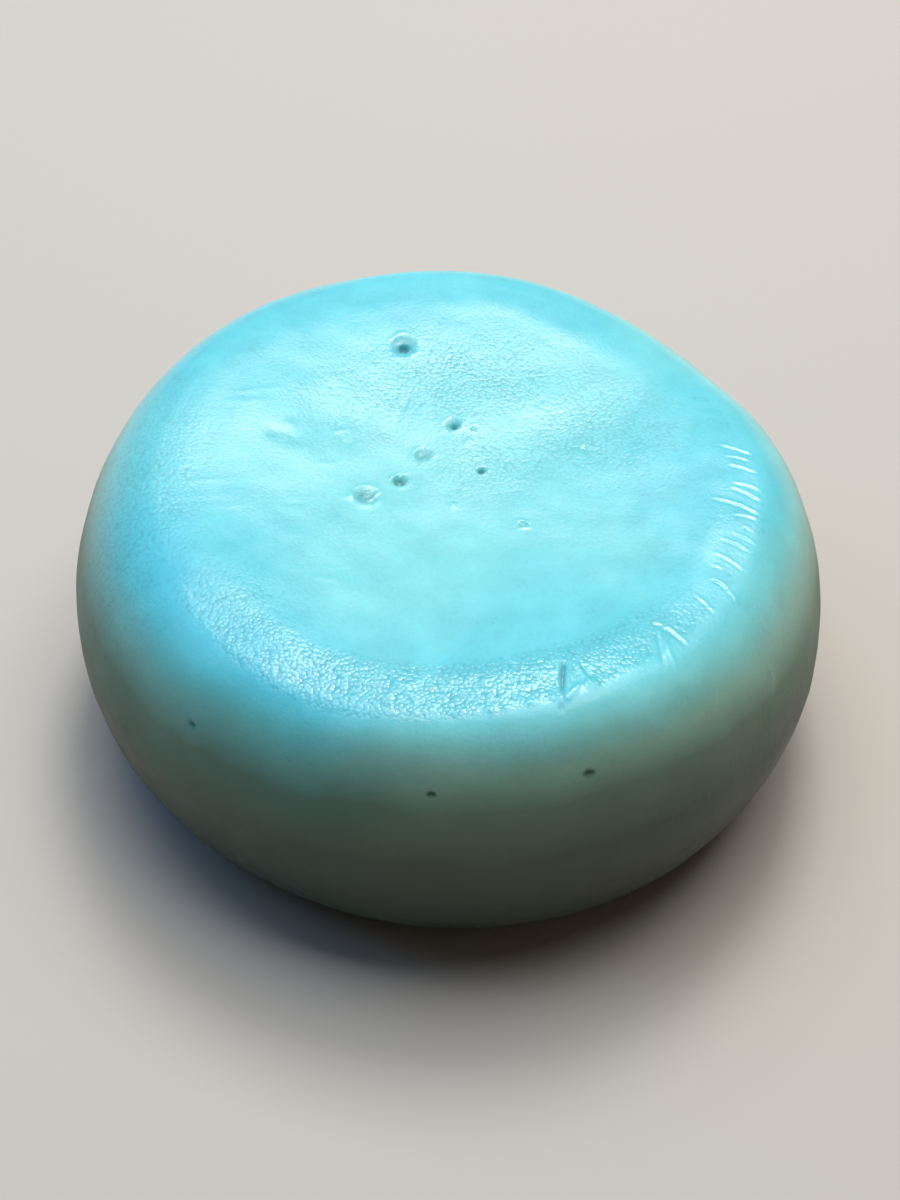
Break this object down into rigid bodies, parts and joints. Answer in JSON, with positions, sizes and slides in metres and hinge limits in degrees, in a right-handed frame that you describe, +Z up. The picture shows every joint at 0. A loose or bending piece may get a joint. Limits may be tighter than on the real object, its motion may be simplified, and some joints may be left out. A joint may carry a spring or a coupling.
{
  "type": "shaving soap puck",
  "caption": "Round cast cake of aqua shaving soap with a barrel-shaped side, a rounded rim, a shallow sunken top and a flat base.",
  "frame": {"origin": "centre of the flat base that the puck rests on", "axes": "+Z up through the middle of the puck, from the base to the sunken top; +X and +Y lie in the base"},
  "size_m": [0.072, 0.072, 0.0306],
  "materials": {
    "soap": "soft semi-gloss, slightly translucent cast soap"
  },
  "bodies": {
    "root": {"soap_puck": "soap"}
  },
  "joints": []
}
